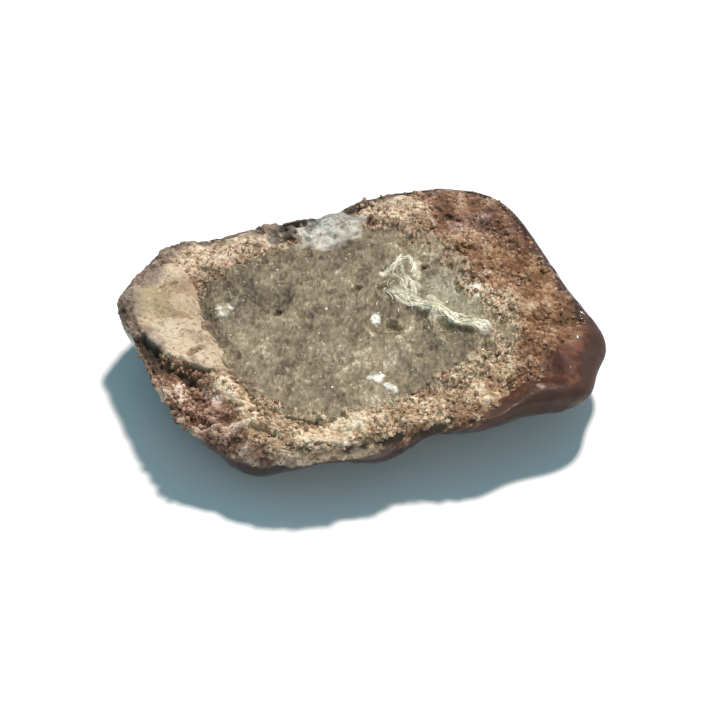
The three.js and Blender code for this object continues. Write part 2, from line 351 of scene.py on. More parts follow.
# The cut chocolate's height over the plain rim: chips and crumbs, each its own height with a gap round it, and
# rough noise, calmer on the smooth places. The pale facet is lifted, folded and creased. The broken corner, the
# cracks, the crags and the lip over the ginger are sunk. Also the masks that the colours need: where each place
# lies, and how light each crumb (tone) and each part of the facet is. The tone holds painted shade in the gaps
# round the crumbs. The facet's tone is lighter along its top and its lower band, painted highlight with the band's
# own paler colour, and holds painted shade in its creases and where it turns down. The dark mask paints the
# cracks and the crag's hole with dark chocolate and painted shade.
def rimRelief(x, y):
    look = rimLook
    cream = patch(x, y, "cream", 0.04, 0.26, 5)
    broken = patch(x, y, "broken", 0.12, 0.6, 6)
    smooth = patch(x, y, "smooth", 0.3, 0.8, 7)
    clear = patch(x, y, "clear", 0.1, 0.6, 8)
    bend = 0.3 * smoothNoise(x, y, 0, 0.6, 3)
    near, far, chip = cells(x + bend, y - bend, look["chipSize"], 11)
    chips = (chip - 0.5) * ease(far - near, 0.0, 0.25)
    bend = 0.12 * smoothNoise(x, y, 0, 0.25, 4)
    near, far, crumb = cells(x - bend, y + bend, look["crumbSize"], 12)
    gap = 1 - ease(far - near, 0.0, 0.4)
    crumbs = (crumb - 0.3) * (1 - gap) - 0.3 * gap
    rough = roughNoise(x, y, 0, 1.5, 6, 13)
    calm = (1 - 0.72 * cream) * (1 - 0.85 * smooth) * (1 - 0.7 * clear)
    calm = calm * (1 - 0.35 * ease(acrossRim(x, y)[1], 0.75, 1.05)) * (1 - bells(x, y, places["calm"]))
    height = calm * (look["chipHeight"] * chips + look["crumbHeight"] * crumbs + look["roughness"] * rough)
    fold = (0.5 - np.abs(roughNoise(x, y, 0, 1.8, 3, 20))) * look["creamFold"]
    near, far, facet = cells(x + 2.5 * bend, y - 2 * bend, look["facetSize"], 22)
    creases = strokes(x, y, "creases", 0.3 * roughNoise(x, y, 0, 0.7, 4, 23), -0.05, 0.3)
    grit = look["gritHeight"] * roughNoise(x, y, 0, 0.24, 2, 25) - look["creaseDepth"] * creases
    step = grit + look["facetStep"] * (facet - 0.5) * ease(far - near, 0.0, 0.3)
    height = height + (look["creamLift"] + fold + step) * cream * (1 - broken)
    height = height + look["cornerLumps"] * smooth * roughNoise(x, y, 0, 1.5, 3, 24)
    sunk = np.where(cream > 0.5, broken, patch(x, y, "broken", 0.7, 0.6, 6))
    height = height - look["brokenDrop"] * sunk * (1 + 0.5 * roughNoise(x, y, 0, 1.1, 3, 14))
    # The cracks and the crag's hole are sunk and painted dark by the dark mask: dark chocolate and painted shade
    cracks = strokes(x, y, "cracks", 0.35 * roughNoise(x, y, 0, 0.7, 3, 15), *look["crackWidth"])
    crag = patch(x, y, "crags", 0.2, 0.4, 16) * (1 - clear)
    spot = spots(x, y, "cragSpot", 0.3 * rough, 0.3, 1)
    crack = np.maximum(spot, crag * ease(roughNoise(x, y, 0, 0.45, 3, 17), 0.0, 0.3))
    height = height - look["crackDepth"] * cracks - look["cragDepth"] * crack
    lip = insideGinger(x, y) + look["lipRagged"] * roughNoise(x, y, 0, 0.8, 3, 18)
    height = height - look["lipDrop"] * ease(lip, -0.25, 0.45)
    clump = smoothNoise(x, y, 0, 0.75, 19)
    # Painted shade: the tone is darker in the gaps round the crumbs
    tone = 0.56 * chip + 0.44 * crumb - 0.36 * gap * (1 - cream) + 0.44 * rough + 0.36 * clump - 0.01
    tone = (tone + bells(x, y, places["shades"])).clip(0, 1)
    # The facet is lighter along two strokes: painted highlight, with the lower band's own paler colour
    light = strokes(x, y, "creamLight", 0.5 * rough, 0.2, 1.1)
    turned = ease(depthInside(x, y, places["broken"]) + 0.25 * rough, -0.6, -0.1)
    height = height - look["creamTurn"] * turned * cream * (1 - broken)
    # Painted shade: the facet is darker in its creases and where it turns down beside the broken corner
    facetTone = (0.25 + 0.5 * facet + 0.5 * light - 0.8 * creases + 0.3 * rough - 0.9 * turned).clip(0, 1)
    wall = ease(broken * (1 - broken), 0.05, 0.2)
    masks = {"cream": cream * (1 - broken), "broken": broken, "smooth": smooth, "clear": clear, "wall": wall,
             "dark": np.maximum(cracks, spot), "crag": crag, "tone": tone, "facet": facetTone}
    return height, masks


def rimTop(x, y):
    return rimPlain(x, y) + rimRelief(x, y)[0]


coatGrid = {
    "stepsRound": 760,
    "footRows": 2,
    "skinRows": 42,
    "shoulderRows": 14,
    "rimRows": 68,
    "pocketRows": 3,
    "skinCrowding": 1.6,  # more than 1 brings the rows together near the widest line
    "overhang": 0.55,  # the rim reaches this far in over the ginger's edge
    "lipDepth": 0.7,
    "dents": 0.17,
    "ripples": 0.09,
    "pits": 0.1,
    "pitSize": 1.1,
    "sideCrumbs": 0.25,
}


# The coat as rings of points from under the middle, out, up the skin and in over the rim. Each ring is a radius
# and a height for every angle: the foot, the bowl of the skin with its lumps, a quarter turn from the widest line
# up to the cut, the rim with its relief, and a bowl under the ginger. Also each ring's share of skin and turn.
def coatRings(angle):
    grid, cut = coatGrid, form["cutHeight"]
    foot, wide, edge = footEdge(angle), widest(angle), widest(angle) - rounding(angle)
    low = cut - form["edgeDrop"] * rounding(angle)
    rings = [(share * foot, 0 * angle, 0, 0) for share in (0, *shares(grid["footRows"]))]
    for share in 1 - (1 - shares(grid["skinRows"])) ** grid["skinCrowding"]:
        out, down = bowl(1 - share, form["skinPower"])
        radius, height = foot + (wide - foot) * out, low * (1 - down)
        lump = waves(*polar(angle, radius), height, form["skinLumps"]) * math.sin(math.pi * share)
        rings.append((radius + lump * out, height * (1 - lump * form["lumpRise"]), share, 0))
    for share in shares(grid["shoulderRows"]):
        turn = share * math.pi / 2
        radius = wide - rounding(angle) * (1 - math.cos(turn))
        rings.append((radius, low + (rimTop(*polar(angle, radius)) - low) * math.sin(turn), 1, share))
    inner = gingerEdge(angle) - grid["overhang"]
    for share in shares(grid["rimRows"]):
        radius = edge + (inner - edge) * share
        rings.append((radius, rimTop(*polar(angle, radius)), 1, 1))
    lip, floor = cut - grid["lipDepth"], cut - form["gingerDepth"]
    for share in shares(grid["pocketRows"]):
        out, down = bowl(share, form["gingerPower"])
        rings.append((inner * out, lip + (floor - lip) * down + 0 * angle, 1, 1))
    radius, height, skinShare, shoulderShare = (np.stack(column) for column in zip(*rings))
    return np.stack([*polar(angle, radius), height], -1), skinShare, shoulderShare


# Outward normals and areas of a grid of rings: across the steps round and the steps along the profile
def ringNormals(points):
    around = (np.roll(points, -1, 1) - np.roll(points, 1, 1)) / 2
    along = np.gradient(points, axis=0)
    normal = np.cross(around, along)
    area = np.linalg.norm(normal, axis=-1)
    return normal / np.maximum(area, 1e-9)[..., None], area


# A mesh object from vertices in millimetres and faces of four and three corners, moved to its place in the frame,
# with values at its vertices as masks for its material
def meshPiece(name, vertices, quads, triangles, material, masks=None, smooth=True):
    mesh = bpy.data.meshes.new(name)
    corners = np.concatenate([np.asarray(quads, np.int32).ravel(), np.asarray(triangles, np.int32).ravel()])
    counts = np.concatenate([np.full(len(quads), 4), np.full(len(triangles), 3)]).astype(np.int32)
    mesh.vertices.add(len(vertices))
    mesh.vertices.foreach_set("co", ((vertices + placeShift) * millimetre).astype(np.float32).ravel())
    mesh.loops.add(len(corners))
    mesh.loops.foreach_set("vertex_index", corners)
    mesh.polygons.add(len(counts))
    mesh.polygons.foreach_set("loop_start", (np.cumsum(counts) - counts).astype(np.int32))
    mesh.update(calc_edges=True)
    mesh.validate()
    mesh.polygons.foreach_set("use_smooth", np.full(len(counts), smooth))
    for label, values in (masks or {}).items():
        mask = mesh.attributes.new(label, "FLOAT", "POINT")
        mask.data.foreach_set("value", np.asarray(values, np.float32).ravel())
    mesh.materials.append(material)
    piece = bpy.data.objects.new(name, mesh)
    bpy.context.scene.collection.objects.link(piece)
    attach(piece, "root")
    return piece


# The faces of closed rings whose first and last ring are single points
def ringFaces(rings, steps):
    here = np.arange(steps)
    after = (here + 1) % steps
    start = 1 + steps * np.arange(rings - 3)[:, None]
    quads = np.stack([start + here, start + after, start + steps + after, start + steps + here], -1).reshape(-1, 4)
    last = 1 + steps * (rings - 3)
    bottom = np.stack([np.zeros(steps, int), 1 + after, 1 + here], -1)
    top = np.stack([last + here, last + after, np.full(steps, last + steps)], -1)
    return quads, np.concatenate([bottom, top])


# A node tree that is written as calls: add makes a node with its settings and inputs, a socket as input is a link
class Tree:
    def __init__(self, tree):
        self.tree = tree

    def put(self, value, socket):
        if isinstance(value, bpy.types.NodeSocket):
            self.tree.links.new(value, socket)
        elif isinstance(value, tuple) and len(value) == 3 and socket.type == "RGBA":
            socket.default_value = (*value, 1)
        else:
            socket.default_value = value

    def add(self, kind, inputs=None, **settings):
        node = self.tree.nodes.new(kind)
        for key, value in settings.items():
            setattr(node, key, value)
        for key, value in (inputs or {}).items():
            self.put(value, node.inputs[key])
        return node

    def mask(self, name):
        return self.add("ShaderNodeAttribute", attribute_name=name).outputs["Fac"]

    def mix(self, share, low, high):
        return self.add("ShaderNodeMix", {0: share, 6: low, 7: high}, data_type="RGBA").outputs[2]

    def math(self, operation, first, second=0.0, third=0.0, clamp=False):
        inputs = {0: first, 1: second, 2: third}
        return self.add("ShaderNodeMath", inputs, operation=operation, use_clamp=clamp).outputs[0]

    # An offset plus each value times its weight
    def weigh(self, offset, *pairs, clamp=False):
        for i, (value, weight) in enumerate(pairs, 1):
            offset = self.math("MULTIPLY_ADD", value, weight, offset, clamp and i == len(pairs))
        return offset

    # A colour with others laid over it, each by the mask of its name
    def layers(self, colour, over):
        for name, layer in over.items():
            colour = self.mix(self.mask(name), colour, layer)
        return colour

    def span(self, value, low, high, toLow=0.0, toHigh=1.0):
        inputs = {"Value": value, "From Min": low, "From Max": high, "To Min": toLow, "To Max": toHigh}
        return self.add("ShaderNodeMapRange", inputs, interpolation_type="SMOOTHSTEP").outputs[0]

    def blend(self, share, low, high):
        return self.add("ShaderNodeMix", {0: share, 2: low, 3: high}, data_type="FLOAT").outputs[0]

    def ramp(self, value, stops):
        node = self.add("ShaderNodeValToRGB", {"Fac": value})
        while len(node.color_ramp.elements) < len(stops):
            node.color_ramp.elements.new(0.5)
        for element, (at, colour) in zip(node.color_ramp.elements, stops):
            element.position = at
            element.color = (*colour, 1)
        return node.outputs["Color"]

    # Where a point lies in its object, in metres
    def place(self):
        return self.add("ShaderNodeTexCoord").outputs["Object"]

    # Relief in the light on a shader, its full depth in millimetres
    def bump(self, shader, height, strength, depth):
        inputs = {"Height": height, "Strength": strength, "Distance": depth * millimetre}
        self.put(self.add("ShaderNodeBump", inputs).outputs["Normal"], shader.inputs["Normal"])


# A material with constants on its shader, with its node tree and the shader
def newMaterial(name, **constants):
    material = bpy.data.materials.new(name)
    material.use_nodes = True
    tree = Tree(material.node_tree)
    shader = material.node_tree.nodes["Principled BSDF"]
    for key, value in constants.items():
        shader.inputs[key].default_value = value
    return material, tree, shader


# Mottling that every material uses: noise of a size in millimetres, spread round a half by its contrast
def mottleGroup():
    group = bpy.data.node_groups.new("mottle", "ShaderNodeTree")
    group.interface.new_socket("Vector", in_out="INPUT", socket_type="NodeSocketVector")
    for name in ("Size", "Contrast"):
        group.interface.new_socket(name, in_out="INPUT", socket_type="NodeSocketFloat")
    group.interface.new_socket("Value", in_out="OUTPUT", socket_type="NodeSocketFloat")
    tree = Tree(group)
    given = tree.add("NodeGroupInput").outputs
    noise = tree.add("ShaderNodeTexNoise", {"Vector": given["Vector"], "Detail": 4.0, "Roughness": 0.6,
                                            "Scale": tree.math("DIVIDE", 1 / millimetre, given["Size"])})
    spread = tree.math("MULTIPLY", tree.math("SUBTRACT", noise.outputs["Fac"], 0.5),
                       tree.math("MULTIPLY", given["Contrast"], 2.2))
    tree.add("NodeGroupOutput", {"Value": tree.math("ADD", spread, 0.5, clamp=True)})
    return group


mottle = mottleGroup()


def mottled(tree, place, size, contrast=1.0):
    inputs = {"Vector": place, "Size": size, "Contrast": contrast}
    return tree.add("ShaderNodeGroup", inputs, node_tree=mottle).outputs["Value"]


coatLook = {
    "skinDark": (0.026, 0.012, 0.009),
    "skinLight": (0.072, 0.032, 0.022),
    "skinBloom": (0.11, 0.062, 0.048),
    "cornerEdge": (0.048, 0.026, 0.02),
    "cornerDark": (0.052, 0.018, 0.01),
    "cornerLight": (0.156, 0.056, 0.029),
    # The pale pink spot on the smooth corner: a painted highlight
    "cornerPaintedHighlight": (0.42, 0.3, 0.25),
    "cutStops": [(0.05, (0.062, 0.028, 0.014)), (0.28, (0.182, 0.087, 0.043)), (0.52, (0.315, 0.167, 0.089)),
                 (0.74, (0.47, 0.292, 0.176)), (0.95, (0.7, 0.53, 0.37))],
    "outerStops": [(0.1, (0.042, 0.024, 0.018)), (0.45, (0.11, 0.066, 0.048)), (0.85, (0.23, 0.145, 0.108))],
    "edgeStops": [(0.1, (0.06, 0.04, 0.031)), (0.45, (0.185, 0.132, 0.1)), (0.85, (0.36, 0.27, 0.208))],
    "cragStops": [(0.1, (0.1, 0.08, 0.06)), (0.8, (0.29, 0.245, 0.2))],
    "maroon": (0.12, 0.045, 0.032),
    "sugarPale": (0.78, 0.69, 0.59),
    "sugarStops": [(0.07, (0.145, 0.077, 0.04)), (0.25, (0.44, 0.288, 0.17)), (0.46, (0.73, 0.545, 0.362)),
                   (0.8, (0.96, 0.8, 0.595))],
    "brokenStops": [(0.17, (0.038, 0.014, 0.009)), (0.34, (0.21, 0.098, 0.063)), (0.5, (0.51, 0.315, 0.222)),
                    (0.78, (0.94, 0.74, 0.59))],
    "mauveStops": [(0.15, (0.095, 0.05, 0.044)), (0.45, (0.3, 0.18, 0.16)), (0.85, (0.64, 0.475, 0.425))],
    "olive": (0.4, 0.312, 0.18),
    "peachLight": (0.67, 0.53, 0.385),
    "peachMiddle": (0.44, 0.318, 0.212),
    "peachDark": (0.19, 0.115, 0.065),
    "clearStops": [(0.1, (0.24, 0.212, 0.19)), (0.42, (0.45, 0.415, 0.362)), (0.8, (0.74, 0.708, 0.625))],
    # Dark chocolate and painted shade in the cracks and the crag's hole
    "dark": (0.066, 0.045, 0.029),
    "orange": (0.26, 0.135, 0.062),
    "crumbSize": 0.24,  # millimetres
    "mottling": [(3.2, 0.9), (0.9, 1.3), (0.22, 1.3), (0.1, 1.2)],  # sizes in millimetres and contrasts
}


# The coat's colours. The skin goes from dark to light with the mottling. The crumbs of the cut take theirs from
# ramps over their tone: brown, darker at the outer edge, tinted mauve towards the back. Over them lie the named
# places, each by its mask.
def coatMaterial():
    material, tree, shader = newMaterial("chocolateAndSugar", **{"IOR": 1.48, "Specular IOR Level": 0.22,
                                                                "Coat Roughness": 0.09, "Coat IOR": 1.45})
    look = coatLook
    place = tree.place()
    broad, middle, fine, grain = (mottled(tree, place, *pair) for pair in look["mottling"])
    crumb = tree.add("ShaderNodeTexVoronoi", {"Vector": place, "Scale": 1 / (look["crumbSize"] * millimetre)})
    crumbTone = tree.add("ShaderNodeSeparateColor", {"Color": crumb.outputs["Color"]}).outputs["Red"]
    # The rim's tone carries painted shade in the gaps round the crumbs
    tone = tree.weigh(0.0, (fine, 0.22), (crumbTone, 0.2), (tree.mask("tone"), 0.66), clamp=True)
    skin = tree.mix(tree.weigh(0.0, (broad, 0.6), (middle, 0.4)), look["skinDark"], look["skinLight"])
    skin = tree.mix(tree.span(fine, 0.6, 0.95, 0.0, 0.35), skin, look["skinBloom"])
    cornerTone = tree.weigh(-0.15, (middle, 0.5), (tree.mask("tone"), 0.5), (fine, 0.3))
    corner = tree.mix(tree.span(cornerTone, 0.15, 0.85), look["cornerDark"], look["cornerLight"])
    corner = tree.mix(tree.math("MULTIPLY", tree.mask("outer"), 0.8), corner, look["cornerEdge"])
    # A pale pink spot on the corner: painted highlight
    corner = tree.mix(tree.mask("fleck"), corner, look["cornerPaintedHighlight"])
    skin = tree.mix(tree.mask("smooth"), skin, corner)
    cut = tree.mix(tree.mask("outer"), tree.ramp(tone, look["cutStops"]), tree.ramp(tone, look["outerStops"]))
    back = tree.add("ShaderNodeSeparateXYZ", {"Vector": place}).outputs["Y"]
    mauve = tree.ramp(tone, look["mauveStops"])
    tint = tree.mix(tree.span(back, 0.001, 0.003), look["maroon"], mauve)
    cut = tree.mix(tree.span(mottled(tree, place, 1.5, 1.4), 0.55, 0.85, 0.0, 0.6), cut, tint)
    cut = tree.mix(tree.span(back, 0.001, 0.004, 0.0, 0.15), cut, mauve)
    sugar = tree.ramp(tone, look["sugarStops"])
    sugar = tree.mix(tree.span(back, 0.004, 0.007, 0.0, 0.3), sugar, look["sugarPale"])
    broken = tree.ramp(tone, look["brokenStops"])
    broken = tree.mix(tree.span(mottled(tree, place, 1.2, 1.4), 0.45, 0.8, 0.0, 0.6), broken, mauve)
    broken = tree.mix(tree.span(middle, 0.62, 0.85, 0.0, 0.7), broken, look["orange"])
    # The facet's tone carries its painted highlight and its painted shade
    facet = tree.weigh(0.0, (tree.mask("facet"), 0.75), (fine, 0.25))
    cream = tree.ramp(facet, [(0.1, look["peachDark"]), (0.45, look["peachMiddle"]), (0.85, look["peachLight"])])
    cream = tree.mix(tree.math("MULTIPLY", tree.mask("olive"), 0.75), cream, look["olive"])
    cream = tree.mix(tree.span(fine, 0.3, 0.0, 0.0, 0.6), cream, look["peachDark"])
    colour = tree.layers(cut, {"sugar": sugar, "cream": cream, "broken": broken})
    colour = tree.mix(tree.math("MULTIPLY", tree.mask("wall"), 0.75), colour, look["orange"])
    edge, crag, clear = (tree.ramp(tone, look[stops]) for stops in ("edgeStops", "cragStops", "clearStops"))
    # The dark mask paints the cracks and the crag's hole: dark chocolate and painted shade
    colour = tree.layers(colour, {"edge": edge, "crag": crag, "clear": clear, "dark": look["dark"]})
    tree.put(tree.mix(tree.mask("cut"), skin, colour), shader.inputs["Base Color"])
    cutRoughness = tree.blend(tree.mask("cream"), tree.span(fine, 0.2, 0.8, 0.5, 0.75), 0.42)
    skinRoughness = tree.blend(tree.mask("smooth"), tree.span(middle, 0.2, 0.8, 0.34, 0.5),
                               tree.span(fine, 0.2, 0.8, 0.52, 0.7))
    roughness = tree.blend(tree.mask("cut"), skinRoughness, cutRoughness)
    tree.put(tree.blend(tree.mask("clear"), roughness, 0.3), shader.inputs["Roughness"])
    gloss = tree.weigh(0.7, (tree.mask("smooth"), -0.65))
    tree.put(tree.blend(tree.mask("cut"), gloss, 0.0), shader.inputs["Coat Weight"])
    crumbly = tree.weigh(0.0, (grain, 0.5), (fine, 1.0), (crumb.outputs["Distance"], -1.0))
    crumbly = tree.math("MULTIPLY", crumbly, tree.weigh(1.0, (tree.mask("cream"), -0.5)))
    height = tree.weigh(0.0, (middle, 0.45), (crumbly, tree.mask("cut")))
    tree.bump(shader, height, 0.8, 0.08)
    return material


# The coat: its rings, moved along their normals by dents, ripples and pits on the skin, and by crumbs where the
# cut runs out over it. Its masks are the rim's, with where the crumbs of the cut reach (cut), and two dark bands
# along the edge: brown at the front right (outer), greyish at the back and the left (edge). It gives back where
# grains can lie on the side.
def makeCoat():
    grid = coatGrid
    angle = np.linspace(0, 2 * math.pi, grid["stepsRound"], endpoint=False)
    points, skinShare, shoulderShare = coatRings(angle)
    x, y, z = points[..., 0], points[..., 1], points[..., 2]
    # On the skin the crumbs are looked up further out by as much as the point lies below the cut
    below = (form["cutHeight"] - z).clip(0) * (shoulderShare < 1)[:, None]
    flatX, flatY = x + below * np.cos(angle), y + below * np.sin(angle)
    masks = rimRelief(flatX, flatY)[1]
    masks["smooth"] = masks["smooth"] * ease(z, 1.6, 3.0)
    onSkin, onRim = (shoulderShare == 0)[:, None], (shoulderShare == 1)[:, None]
    shoulder = np.broadcast_to(shoulderShare[:, None], x.shape)
    around = np.broadcast_to(angle, x.shape)
    bareFrom = 0.3 + 0.2 * sector(around, -40, 60, 12) - 0.5 * sector(around, 60, 150, 10)
    cut = ease(shoulder + 0.3 * roughNoise(x, y, z, 1.0, 3, 21) - bareFrom, -0.1, 0.12)
    spill = np.maximum(masks["broken"], sector(around, -160, -76, 8))
    cut = np.maximum(cut, np.maximum(spill, sector(around, 54, 155, 6)))
    spill = spill * ease(z + 0.6 * roughNoise(x, y, z, 0.9, 4, 22), 2.4, 2.6)
    spill = np.maximum(spill, sector(around, 50, 155, 6) * ease(skinShare, 0.84, 0.94)[:, None])
    cut = np.where(onSkin, spill, cut)
    cut = np.where(onRim, 1.0, cut) * (1 - masks["smooth"])
    fromWidest = widest(around) - np.hypot(flatX, flatY) + 0.4 * roughNoise(x, y, 0, 0.9, 4, 45)
    wide = 0.85 + 0.6 * sector(around, 128, 165, 10)
    band = 1 - ease(fromWidest / wide, 0.35, 0.95)
    outer = sector(around, -80, 30, 8) * band
    edge = np.maximum(sector(around, 30, 172, 8) * band, 0.45 * sector(around, 178, 236, 8) * band)
    fade = (ease(skinShare, 0.0, 0.35) * (1 - 0.9 * ease(skinShare, 0.8, 1.0)))[:, None] * (1 - cut)
    dents = grid["dents"] * roughNoise(x, y, z, 2.6, 3, 31)
    ripples = grid["ripples"] * (0.5 - np.abs(roughNoise(x, y, z, 1.7, 2, 32)))
    away, _, number = cells(x + 0.7 * z, y - 0.7 * z, grid["pitSize"], 33)
    pits = -grid["pits"] * (1 - ease(away, 0.0, 0.24)) * (number > 0.6)
    neat = 1 - 0.6 * sector(around, 50, 172, 8)
    torn = grid["sideCrumbs"] * (roughNoise(x, y, z, 0.7, 5, 34) + masks["tone"] - 0.75) * neat * cut * ~onRim
    points = points + ringNormals(points)[0] * (fade * (dents + ripples + pits) + torn)[..., None]
    points[..., 2] = np.maximum(points[..., 2], 0.0)
    # Where the painted highlight lies on the smooth corner
    fleck = spots(flatX, flatY, "fleck", 0.2 * roughNoise(x, y, 0, 0.5, 3, 46), 0.3, 1)
    olive = spots(x, y, "olive", 0.8 * roughNoise(x, y, 0, 1.4, 3, 44), 0.2, 1.3)
    masks.update(cut=cut, sugar=sugarMask(flatX, flatY), olive=olive, fleck=fleck, outer=outer,
                 edge=edge * (1 - masks["clear"]))

    # The points of the rings one after another, with one point each for the first and the last ring
    def laid(values):
        return np.concatenate([values[0, :1], *values[1:-1], values[-1, :1]])

    quads, triangles = ringFaces(len(points), grid["stepsRound"])
    material = coatMaterial()
    piece = meshPiece("coat", laid(points), quads, triangles, material, {k: laid(v) for k, v in masks.items()})
    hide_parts("chocolate_coat")
    print("coat:", len(piece.data.vertices), "vertices")
    normals, area = ringNormals(points)
    return {"points": points, "normals": normals, "share": area * cut * neat ** 2 * ~onRim, "masks": masks}


gingerLook = {
    "grid": 310,
    "tuck": 0.35,  # the flesh reaches this far under the coat's rim
    "tuckDrop": 0.45,  # and lies this much lower there
    "underRows": 4,
    "fibreTurn": 62,  # degrees from +X, the way the fibres run
    "stretch": (0.55, 1, 0.7),  # of the mottling: along the fibres, across them and up
    "fibreHeight": 0.09,
    "grainHeight": 0.06,
    "granuleSize": 0.4,
    "granuleHeight": 0.06,
    "scarp": 0.17,
    "pitDepth": 0.25,
    "glintHeight": 0.05,
    "grooveDepth": 0.12,
    "crustHeight": 0.16,
    "fleshStops": [(0.04, (0.047, 0.033, 0.017)), (0.3, (0.133, 0.1, 0.056)), (0.55, (0.21, 0.163, 0.096)),
                   (0.8, (0.318, 0.256, 0.162)), (0.98, (0.6, 0.53, 0.39))],
    "pale": (0.86, 0.8, 0.62),
    # White sugar, partly painted glints
    "white": (0.82, 0.79, 0.7),
    "wet": (0.33, 0.312, 0.218),
    "crustStops": [(0.15, (0.17, 0.11, 0.062)), (0.45, (0.4, 0.29, 0.175)), (0.8, (0.68, 0.56, 0.4))],
    "brownStops": [(0.15, (0.08, 0.042, 0.024)), (0.45, (0.215, 0.128, 0.076)), (0.8, (0.46, 0.32, 0.215))],
    "warm": (0.215, 0.158, 0.098),
}


# Axes along and across the fibres, which wander a little
def fibreAxes(x, y):
    turn = math.radians(gingerLook["fibreTurn"])
    bend = 0.35 * smoothNoise(x, y, 0, 4.0, 51) + 0.06 * smoothNoise(x, y, 0, 0.9, 58)
    along = x * math.cos(turn) + y * math.sin(turn)
    across = -x * math.sin(turn) + y * math.cos(turn) + bend
    return along, across


# The torn edge in the flesh, along a line with its low side to the right: a crest that drops steeply to the left,
# its bright top, a groove under it, painted darker as painted shade, the low side, and threads drawn out along it
def tear(x, y):
    line = np.array(places["ridge"])
    level = np.interp(y, line[::-1, 1], line[::-1, 0])
    side = 0.92 * (x - level) + 0.16 * roughNoise(x, y, 0, 0.7, 3, 52)
    fingers = 0.16 * roughNoise(0.6 * x, y, 0, 0.55, 3, 66)
    reach = ease(y, -4.2, -3.5) * (1 - ease(y, 0.3, 1.3))
    crest = ease(side + fingers, -0.55, -0.3) * (1 - ease(side - fingers, 0.1, 0.7)) * reach
    bright = ease(side + fingers, -0.4, -0.2) * (1 - ease(side - fingers, 0.0, 0.55)) * reach
    groove = np.exp(-((side + fingers + 0.62) / 0.14) ** 2) * reach * (1 - 0.8 * ease(y, -1.4, -0.8))
    low = ease(side, 0.1, 0.7) * ease(y, -3.6, -2.6) * (1 - ease(y, 1.4, 2.4))
    threads = roughNoise(side, y / 4.5, 0, 0.3, 4, 55)
    return crest, bright, groove, low, threads


# The ginger's height over its plain face: fibres and thin lines drawn out along one way, grain, granules of uneven
# height, pits, a groove along the pale facet, and a tear with a hollow and a slit beside it. Also its masks: how
# light the flesh is (tone), with painted shade in the pits, the slit and both grooves, and where it is pale, white
# (sugar with painted glints), wet or under a crust.
def gingerRelief(x, y):
    look = gingerLook
    along, across = fibreAxes(x, y)
    fibres = roughNoise(along / 2, across, 0, 0.75, 5, 53)
    lines = (1 - np.abs(roughNoise(along / 4, across, 0, 0.7, 3, 59)) / 0.16).clip(0, 1)
    grain = roughNoise(x, y, 0, 0.34, 3, 54)
    blotch = roughNoise(x, y, 0, 1.9, 3, 61)
    pits = spots(x, y, "pits", 0.25 * grain, 0.3, 1)
    # White spots at the glints: sugar with painted glints
    white = spots(x, y, "glints", 0.5 * grain + 0.3 * fibres, 0.1, 1.3)
    wisps = strokes(x, y, "wisps", 0.24 * roughNoise(along / 3, across, 0, 0.3, 4, 64), 0.04, 0.26)
    slit = strokes(x, y, "slit", 0.25 * grain, 0.08, 0.3)
    crest, bright, under, low, threads = tear(x, y)
    cx, cy, spread = places["hollow"]
    hollow = (1 - ease(np.hypot(x - cx, (y - cy) * 0.8), 0.5 * spread, 1.3 * spread)) * low
    calm = 1 - 0.35 * hollow
    height = look["fibreHeight"] * (fibres + 0.35 * lines) * calm + look["grainHeight"] * grain * calm
    torn = crest * (0.8 + 0.9 * threads) + 0.5 * wisps - 0.5 * under
    height = height + look["scarp"] * (torn - 0.8 * hollow - 0.4 * slit)
    height = height - look["pitDepth"] * pits + look["glintHeight"] * white
    frost = patch(x, y, "frost", 0.3, 1.2, 62) * ease(fibres + 0.6 * grain, 0.05, 0.4)
    near, far, granule = cells(x, y, look["granuleSize"], 65)
    height = height + look["granuleHeight"] * (granule - 0.5) * ease(far - near, 0.0, 0.3)
    # A groove beside the facet, sunk and painted darker: painted shade
    groove = 1 - ease(np.abs(depthInside(x, y, places["cream"]) + 0.3), 0.1, 0.45)
    height = height - look["grooveDepth"] * groove
    shade = 0.06 - 0.31 * ease(y - 0.25 * x, 2.0, 4.2) - 0.07 * ease(x, 2.0, 4.0)
    shade = shade + bells(x, y, places["fleshShades"])
    tone = 0.5 + shade + 0.36 * fibres + 0.08 * lines + 0.36 * grain + 0.3 * blotch + 0.38 * (granule - 0.5)
    # Painted shade: darker in the pits, the groove by the facet, the groove under the crest and the slit
    tone = tone - 0.6 * pits - 0.22 * groove - 0.45 * under - 0.3 * slit
    pale = np.maximum(bright * (1.15 + 1.0 * threads), wisps * (0.75 + 1.0 * fibres))
    pale = np.maximum(pale, 0.42 * frost).clip(0, 1) * (1 - 0.85 * slit)
    clear = patch(x, y, "clear", 0.3, 0.9, 67) * (0.62 + 0.7 * grain).clip(0, 1)
    white = np.maximum(white, 0.7 * clear)
    angle = np.arctan2(y, x)
    reach = 0.35 + 1.1 * sector(angle, -75, 62, 15)
    crumbly = roughNoise(x, y, 0, 0.7, 5, 63)
    crust = 1 - ease(insideGinger(x, y) - 0.9 * crumbly, 0.3 * reach, reach)
    crust = crust * ease(crumbly + 0.3 * grain, -0.2, 0.15)
    crust = crust * (1 - sector(angle, 120, 200, 12))
    height = height + look["crustHeight"] * crust * (0.5 + crumbly + grain)
    brown = crust * sector(angle + 0.15 * crumbly, 8, 66, 10)
    return height, {"tone": tone.clip(0, 1), "pale": pale, "white": white, "wet": hollow,
                    "crust": crust * (1 - clear), "brown": brown}


def gingerTop(x, y):
    tucked = gingerLook["tuckDrop"] * (1 - ease(insideGinger(x, y), -0.33, -0.05))
    return gingerPlain(x, y) + gingerRelief(x, y)[0] - tucked


